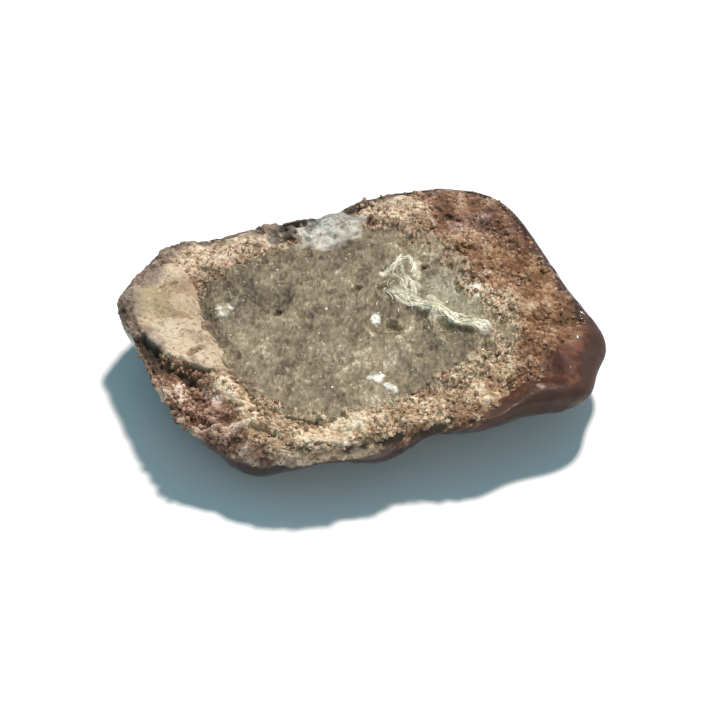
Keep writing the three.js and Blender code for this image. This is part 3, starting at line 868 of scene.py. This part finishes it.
# The ginger's colours: a ramp over its tone and mottling drawn out along the fibres, warmer in broad patches. The
# wet hollow, the crust, the pale strands and the white spots (sugar with painted glints) are laid over it by their
# masks.
def gingerMaterial():
    material, tree, shader = newMaterial("candiedGinger", **{"IOR": 1.46, "Subsurface Weight": 0.1,
                                                            "Subsurface Scale": 0.0004})
    look = gingerLook
    place = tree.place()
    turn = (0, 0, -math.radians(look["fibreTurn"]))
    turned = tree.add("ShaderNodeMapping", {"Vector": place, "Rotation": turn}).outputs[0]
    drawn = tree.add("ShaderNodeMapping", {"Vector": turned, "Scale": look["stretch"]}).outputs[0]
    fine = mottled(tree, drawn, 0.16, 1.5)
    broad = mottled(tree, place, 2.0, 1.2)
    tone = tree.weigh(-0.12, (fine, 0.44), (tree.mask("tone"), 0.75), clamp=True)
    colour = tree.ramp(tone, look["fleshStops"])
    colour = tree.mix(tree.span(broad, 0.5, 0.9, 0.0, 0.4), colour, look["warm"])
    damp = tree.math("MULTIPLY", tree.mask("wet"), tree.span(fine, 0.2, 0.8, 0.35, 0.85))
    colour = tree.mix(damp, colour, look["wet"])
    crust = tree.mix(tree.mask("brown"), tree.ramp(fine, look["crustStops"]), tree.ramp(fine, look["brownStops"]))
    # The white spots: sugar with painted glints
    colour = tree.layers(colour, {"crust": crust, "pale": look["pale"], "white": look["white"]})
    tree.put(colour, shader.inputs["Base Color"])
    shine = tree.math("MAXIMUM", tree.mask("wet"), tree.mask("pale"))
    tree.put(tree.blend(shine, tree.span(tone, 0.2, 0.8, 0.6, 0.45), 0.28), shader.inputs["Roughness"])
    tree.bump(shader, fine, 0.6, 0.05)
    return material


# The flesh: a square grid pressed into the ginger's outline, closed by a bowl under it
def makeGinger():
    look = gingerLook
    count = look["grid"]
    side = np.linspace(-1, 1, count)
    s, t = np.meshgrid(side, side)
    discX, discY = s * np.sqrt(1 - t * t / 2), t * np.sqrt(1 - s * s / 2)
    angle = np.arctan2(discY, discX)
    radius = np.hypot(discX, discY) * (gingerEdge(angle) + look["tuck"])
    x, y = polar(angle, radius)
    top = np.stack([x, y, gingerTop(x, y)], -1).reshape(-1, 3)
    index = np.arange(count * count).reshape(count, count)
    quads = np.stack([index[:-1, :-1], index[:-1, 1:], index[1:, 1:], index[1:, :-1]], -1).reshape(-1, 4)
    loop = np.concatenate([index[0, :-1], index[:-1, -1], index[-1, :0:-1], index[:0:-1, 0]])
    ring, rings = top[loop], [loop]
    vertices, used = [top], len(top)
    floor = form["cutHeight"] - form["gingerDepth"]
    for share in shares(look["underRows"])[:-1]:
        out, down = bowl(share, form["gingerPower"])
        rim = ring[:, 2] - 0.1
        vertices.append(np.stack([ring[:, 0] * out, ring[:, 1] * out, rim + (floor - rim) * down], -1))
        rings.append(used + np.arange(len(loop)))
        used += len(loop)
    vertices.append(np.array([[0.0, 0.0, floor]]))
    rings = np.stack(rings)
    under = np.stack([rings[:-1], rings[1:], np.roll(rings[1:], -1, 1), np.roll(rings[:-1], -1, 1)], -1)
    tip = np.stack([rings[-1], np.full(len(loop), used), np.roll(rings[-1], -1)], -1)
    vertices = np.concatenate(vertices)
    masks = gingerRelief(vertices[:, 0], vertices[:, 1])[1]
    quads = np.concatenate([quads, under.reshape(-1, 4)])
    piece = meshPiece("ginger", vertices, quads, tip, gingerMaterial(), masks)
    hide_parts("ginger_core")
    print("ginger:", len(piece.data.vertices), "vertices")


# Small irregular grains: an icosahedron each, with its corners moved in or out, stretched, and turned by a
# quaternion: v + 2a(q x v) + 2q x (q x v), with its real part a and its axis q
def grains(name, x, y, z, size, tones, material, seed):
    rng = np.random.default_rng(seed)
    golden = (1 + 5 ** 0.5) / 2
    four = [(-1, golden, 0), (1, golden, 0), (-1, -golden, 0), (1, -golden, 0)]
    corners = np.concatenate([np.roll(four, axis, 1) for axis in range(3)]) / math.hypot(1, golden)
    faces = np.array([(0, 11, 5), (0, 5, 1), (0, 1, 7), (0, 7, 10), (0, 10, 11), (1, 5, 9), (5, 11, 4), (11, 10, 2),
                      (10, 7, 6), (7, 1, 8), (3, 9, 4), (3, 4, 2), (3, 2, 6), (3, 6, 8), (3, 8, 9), (4, 9, 5),
                      (2, 4, 11), (6, 2, 10), (8, 6, 7), (9, 8, 1)])
    count = len(x)
    shape = corners[None] * rng.uniform(0.7, 1.3, (count, 12, 1)) * rng.uniform(0.6, 1.25, (count, 1, 3))
    turns = rng.normal(size=(count, 4))
    turns /= np.linalg.norm(turns, axis=1, keepdims=True)
    real, axis = turns[:, None, :1], turns[:, None, 1:]
    swung = 2 * np.cross(axis, shape)
    spun = shape + real * swung + np.cross(axis, swung)
    middle = np.stack([x, y, z], -1)[:, None]
    vertices = (middle + spun * (size / 2)[:, None, None]).reshape(-1, 3)
    triangles = (faces[None] + 12 * np.arange(count)[:, None, None]).reshape(-1, 3)
    empty = np.zeros((0, 4), int)
    return meshPiece(name, vertices, empty, triangles, material, {"tone": np.repeat(tones, 12)}, smooth=False)


grainLook = {
    "sugarCount": 2600,
    "sugarSize": (0.07, 0.27),
    "sugarStops": [(0.05, (0.2, 0.12, 0.066)), (0.35, (0.42, 0.29, 0.18)), (0.7, (0.6, 0.46, 0.31)),
                   (0.97, (0.82, 0.7, 0.53))],
    "sugarSide": 420,
    "brownSide": 900,
    "brownCount": 3200,
    "brownSize": (0.07, 0.3),
    "brownStops": [(0.05, (0.085, 0.04, 0.023)), (0.4, (0.23, 0.122, 0.069)), (0.7, (0.42, 0.255, 0.157)),
                   (0.97, (0.66, 0.49, 0.35))],
    "crystalCount": 420,
    "crystalSize": (0.05, 0.15),
    "crystalStops": [(0.1, (0.3, 0.26, 0.18)), (0.9, (0.86, 0.83, 0.73))],
    "glintCount": 90,
    "glintSize": (0.04, 0.14),
    "sunk": (-0.35, 0.05),  # of the grains' size, where they lie on the rim
    "sideSunk": 0.2,
    "toneShare": 0.55,  # how much of its tone a grain takes from the rim, and how much is its own
    "toneSpread": 0.5,
    "drawsPerGrain": 40,
    "area": (11, 10.5),  # half sizes of where points are drawn
}


def grainMaterial(name, stops, roughness):
    material, tree, shader = newMaterial(name, IOR=1.5, Roughness=roughness)
    place = tree.place()
    fine = mottled(tree, place, 0.15, 1.0)
    tone = tree.weigh(0.0, (tree.mask("tone"), 0.8), (fine, 0.2))
    tree.put(tree.ramp(tone, stops), shader.inputs["Base Color"])
    return material


# Grains scattered over the rim: points drawn over a rectangle are kept by a chance that depends on the place
def scatter(count, keep, seed):
    rng = np.random.default_rng(seed)
    drawn, (halfX, halfY) = count * grainLook["drawsPerGrain"], grainLook["area"]
    x, y = rng.uniform(-halfX, halfX, drawn), rng.uniform(-halfY, halfY, drawn)
    angle, across = acrossRim(x, y)
    reach = 0.7 + 0.7 * sector(angle, -75, 62, 15)
    chance = keep(x, y) * (1 - ease(insideGinger(x, y), -0.1, reach)) * (across < 0.98)
    kept = np.flatnonzero(rng.random(len(x)) < chance)[:count]
    return x[kept], y[kept], rng


# 1 where the rim is sugary
def sugarMask(x, y):
    total = np.zeros(np.shape(x))
    for name, seed in (("sugar", 41), ("sugarBack", 42), ("sugarRight", 43)):
        total = np.maximum(total, patch(x, y, name, 0.6, 1.3, seed))
    return total


# The height of the upper of the two surfaces
def faceTop(x, y):
    return np.where(insideGinger(x, y) > -0.1, np.maximum(rimTop(x, y), gingerTop(x, y)), rimTop(x, y))


# Grains that lie on the rim where it is sugary or bare, coloured like the rim under them, and sugar on the flesh
def makeGrains(side):
    look, masks = grainLook, side["masks"]
    bare = without(masks, "cream", "smooth", "clear", "dark") * side["share"]
    onSide = {"sugar": bare * masks["sugar"] * (1 - masks["broken"]), "brown": bare * (1.1 - masks["sugar"])}

    # 1, less along the back edge, where the crumbs are fine
    def neat(x, y):
        angle = np.arctan2(y, x)
        return 1 - 0.9 * sector(angle, 62, 172, 8) * (1 - ease(widest(angle) - np.hypot(x, y), 0.5, 0.9))

    def sugary(x, y):
        masks = rimRelief(x, y)[1]
        bare = without(masks, "cream", "broken", "clear", "smooth", "dark")
        bare = sugarMask(x, y) * bare * ease(roughNoise(x, y, 0, 1.2, 2, 75), -0.5, 0.3)
        return neat(x, y) * np.maximum(bare, 0.06 * masks["cream"])

    def brown(x, y):
        masks = rimRelief(x, y)[1]
        bare = without(masks, "cream", "smooth", "clear") * (1 - 0.9 * masks["dark"])
        return neat(x, y) * bare * (1 - 0.85 * sugarMask(x, y)) * ease(roughNoise(x, y, 0, 0.9, 2, 76), -0.6, 0.2)

    # Sizes between two, the small ones more often by a power
    def sizes(kind, count, power, rng):
        low, high = look[kind + "Size"]
        return low + (high - low) * rng.random(count) ** power

    for name, keep, kind, seed in (("sugarGrains", sugary, "sugar", 71), ("chocolateCrumbs", brown, "brown", 73)):
        x, y, rng = scatter(look[kind + "Count"], keep, seed)
        size = sizes(kind, len(x), 2.5, rng)
        z = faceTop(x, y) + size * rng.uniform(*look["sunk"], len(x))
        tones = look["toneShare"] * rimRelief(x, y)[1]["tone"] + look["toneSpread"] * rng.random(len(x))
        chance = onSide[kind].ravel()
        pick = rng.choice(len(chance), look[kind + "Side"], False, chance / chance.sum())
        more = sizes(kind, len(pick), 2, rng)
        spot, normal = (side[name].reshape(-1, 3)[pick] for name in ("points", "normals"))
        spot = spot - look["sideSunk"] * more[:, None] * normal
        x, y, z = (np.concatenate(pair) for pair in zip((x, y, z), spot.T))
        size = np.concatenate([size, more])
        toned = look["toneShare"] * masks["tone"].ravel()[pick] + look["toneSpread"] * rng.random(len(pick))
        tones = np.concatenate([tones, toned])
        piece = grains(name, x, y, z, size, tones, grainMaterial(name, look[kind + "Stops"], 0.5), seed + 1)
        print(name, len(x))
    rng = np.random.default_rng(77)
    # Crystals gathered at the glints, with bright tones: white sugar and painted glints
    glints = np.array(places["glints"])
    glintX, glintY, spread = glints[rng.integers(0, len(glints), look["glintCount"])].T
    turn, out = rng.random(look["crystalCount"]) * 2 * math.pi, np.sqrt(rng.random(look["crystalCount"])) * 0.97
    looseX, looseY = polar(turn, out * gingerEdge(turn))
    x = np.concatenate([glintX + rng.normal(0, 0.6, len(spread)) * spread, looseX])
    y = np.concatenate([glintY + rng.normal(0, 0.6, len(spread)) * spread, looseY])
    size = sizes("crystal", len(x), 1.5, rng)
    size[:len(spread)] = rng.uniform(*look["glintSize"], len(spread))
    z = gingerTop(x, y) + size * rng.uniform(-0.3, 0.1, len(x))
    tones = np.concatenate([rng.uniform(0.6, 1.0, len(spread)), rng.uniform(0.0, 0.7, len(turn))])
    material = grainMaterial("sugarCrystal", look["crystalStops"], 0.25)
    piece = grains("sugarCrystals", x, y, z, size, tones, material, 78)
    print("sugarCrystals", len(x))


# Thin torn fibres: tubes that follow the pale strokes and the torn edge in loose bundles, and more that lie along
# the fibres of the flesh. Each tube strays a little from its line and lifts at its ends.
fibreLook = {
    "points": 7,
    "sides": 5,
    "thickness": (0.025, 0.07),
    "bundle": 11,
    "stray": 0.12,
    "longest": 0.6,  # as a share of the line
    "ridgeBundle": 90,
    "ridgeStray": 0.2,
    "ridgeLongest": 0.2,
    "loose": 40,
    "looseSpread": 0.45,
    "looseHalf": (0.15, 0.5),
    "slant": 0.2,
    "bend": 0.25,
    "lift": 0.045,
    "stops": [(0.1, (0.3, 0.25, 0.16)), (0.5, (0.62, 0.56, 0.41)), (0.95, (0.95, 0.91, 0.77))],
}


# Each bundle is a line, a count, how far its tubes stray across it, and their longest share of it. A tube is rings
# of a few points across its path, thinner at the ends, closed by its end points.
def makeFibres():
    look = fibreLook
    rng = np.random.default_rng(81)
    points, sides = look["points"], look["sides"]
    share = np.linspace(-0.5, 0.5, points)
    ridge = np.array(places["ridge"])
    bundles = [(line, look["bundle"], look["stray"], look["longest"]) for line in places["wisps"]]
    bundles.append((ridge, look["ridgeBundle"], look["ridgeStray"], look["ridgeLongest"]))
    shifts = rng.normal(0, look["looseSpread"], (look["loose"], 2))
    for middle in shifts + ridge[rng.integers(0, len(ridge), look["loose"])]:
        half = rng.uniform(*look["looseHalf"])
        end = np.array(polar(rng.normal(math.radians(gingerLook["fibreTurn"]), 0.25), half))
        bundles.append(([middle - end, middle + end], 1, 0.0, 1.0))
    paths = []
    for line, count, stray, longest in bundles:
        line = np.array(line)
        at = np.concatenate([[0], np.cumsum(np.hypot(*np.diff(line, axis=0).T))])
        reach = at[-1] * rng.uniform(0.3, 1.0, count) * longest
        where = (reach / 2 + rng.random(count) * (at[-1] - reach))[:, None] + reach[:, None] * share
        across = np.array([line[0, 1] - line[-1, 1], line[-1, 0] - line[0, 0]]) / np.hypot(*(line[-1] - line[0]))
        shift = rng.normal(0, 1, (3, count, 1))
        shift = stray * shift[0] + look["slant"] * shift[1] * share + look["bend"] * shift[2] * share ** 2
        x, y = (np.interp(where, at, line[:, i]) + shift * across[i] for i in (0, 1))
        lift = look["lift"] * rng.uniform(0, 1, (count, 1))
        lift = lift * np.abs(2 * share + rng.uniform(-0.5, 0.5, (count, 1))) ** 1.5
        paths.append(np.stack([x, y, gingerTop(x, y) + lift], -1))
    path = np.concatenate(paths)
    count = len(path)
    forward = np.gradient(path, axis=1)
    forward /= np.linalg.norm(forward, axis=-1, keepdims=True)
    sideways = np.cross(forward, [0, 0, 1.0])
    sideways /= np.maximum(np.linalg.norm(sideways, axis=-1, keepdims=True), 1e-6)
    upward = np.cross(sideways, forward)
    thick = rng.uniform(*look["thickness"], count)[:, None] * (1 - (2 * share) ** 4 * 0.75)
    turns = -2 * math.pi * np.arange(sides)[:, None] / sides
    ring = np.cos(turns) * sideways[:, :, None] + np.sin(turns) * upward[:, :, None]
    tube = path[:, :, None] + ring * thick[:, :, None, None] / 2
    vertices = np.concatenate([path[:, :1], tube.reshape(count, -1, 3), path[:, -1:]], 1)
    quads, caps = ringFaces(points + 2, sides)
    quads = np.roll(quads, 1, 1)  # from another corner, so that they split along the other diagonal
    each = vertices.shape[1] * np.arange(count)[:, None, None]
    tones = np.repeat(rng.random(count), vertices.shape[1])
    material = grainMaterial("gingerFibre", look["stops"], 0.35)
    piece = meshPiece("gingerFibres", vertices.reshape(-1, 3), (quads + each).reshape(-1, 4),
                      (caps + each).reshape(-1, 3), material, {"tone": tones})
    print("fibres:", count)


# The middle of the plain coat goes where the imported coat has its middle
def shiftToFrame():
    angle = np.linspace(0, 2 * math.pi, 720, endpoint=False)
    points = coatRings(angle)[0].reshape(-1, 3)
    low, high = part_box("chocolate_coat")
    plain = (points.min(0) + points.max(0)) / 2
    packed = (np.array(low) + np.array(high)) / 2 / millimetre
    return np.array([packed[0] - plain[0], packed[1] - plain[1], 0.0])


placeShift = shiftToFrame()
print("shift to the frame, mm:", placeShift.round(3))

coatSide = makeCoat()
makeGinger()
makeGrains(coatSide)
makeFibres()

studio = {
    "azimuth": -28.0,
    "elevation": 42.0,
    "lens": 200.0,
    "viewWidth": 34.0,  # millimetres across the picture at the object
    "nearest": 0.01,
    "aim": (-0.6, -1.07, 2.33),
    "floor": (0.86, 0.86, 0.86),
    "sky": (0.38, 0.82, 1.0),
    "skyStrength": 0.36,
    "floorHalf": 3.0,  # metres
    "lamps": {  # where each lies from the object, its distance and size in metres, its power and its colour
        "key": ((0.364, 0.259, 1.0), 0.45, 0.05, 2.62, (1.0, 0.9, 0.84)),
        "fill": ((-0.2, -1.0, 0.45), 0.4, 0.3, 0.36, (1.0, 0.93, 0.85)),
    },
}


def makeLight(name, towards, distance, size, power, colour):
    light = bpy.data.lights.new(name, "AREA")
    light.energy, light.size, light.color = power, size, colour
    lamp = bpy.data.objects.new(name, light)
    towards = Vector(towards).normalized()
    lamp.location = towards * distance
    lamp.rotation_euler = towards.to_track_quat("Z", "Y").to_euler()
    bpy.context.scene.collection.objects.link(lamp)


def makeStudio():
    scene = bpy.context.scene
    scene.view_settings.view_transform = "Standard"
    mesh = bpy.data.meshes.new("floor")
    half = studio["floorHalf"]
    mesh.from_pydata([(-half, -half, 0), (half, -half, 0), (half, half, 0), (-half, half, 0)], [], [(0, 1, 2, 3)])
    floor = bpy.data.objects.new("floor", mesh)
    scene.collection.objects.link(floor)
    settings = {"Roughness": 0.7, "Base Color": (*studio["floor"], 1)}
    mesh.materials.append(newMaterial("paleFloor", **settings)[0])
    world = bpy.data.worlds.new("sky")
    world.use_nodes = True
    background = world.node_tree.nodes["Background"].inputs
    background["Color"].default_value = (*studio["sky"], 1)
    background["Strength"].default_value = studio["skyStrength"]
    scene.world = world
    for name, settings in studio["lamps"].items():
        makeLight(name, *settings)
    camera = bpy.data.objects.new("camera", bpy.data.cameras.new("camera"))
    camera.data.lens = studio["lens"]
    camera.data.clip_start = studio["nearest"]
    azimuth, elevation = math.radians(studio["azimuth"]), math.radians(studio["elevation"])
    back = Vector((math.sin(azimuth) * math.cos(elevation), -math.cos(azimuth) * math.cos(elevation),
                   math.sin(elevation)))
    distance = studio["viewWidth"] * millimetre * studio["lens"] / camera.data.sensor_width
    camera.location = Vector(studio["aim"]) * millimetre + back * distance
    camera.rotation_euler = back.to_track_quat("Z", "Y").to_euler()
    scene.collection.objects.link(camera)
    scene.camera = camera
    print("studio: camera at", [round(v, 3) for v in camera.location])


makeStudio()
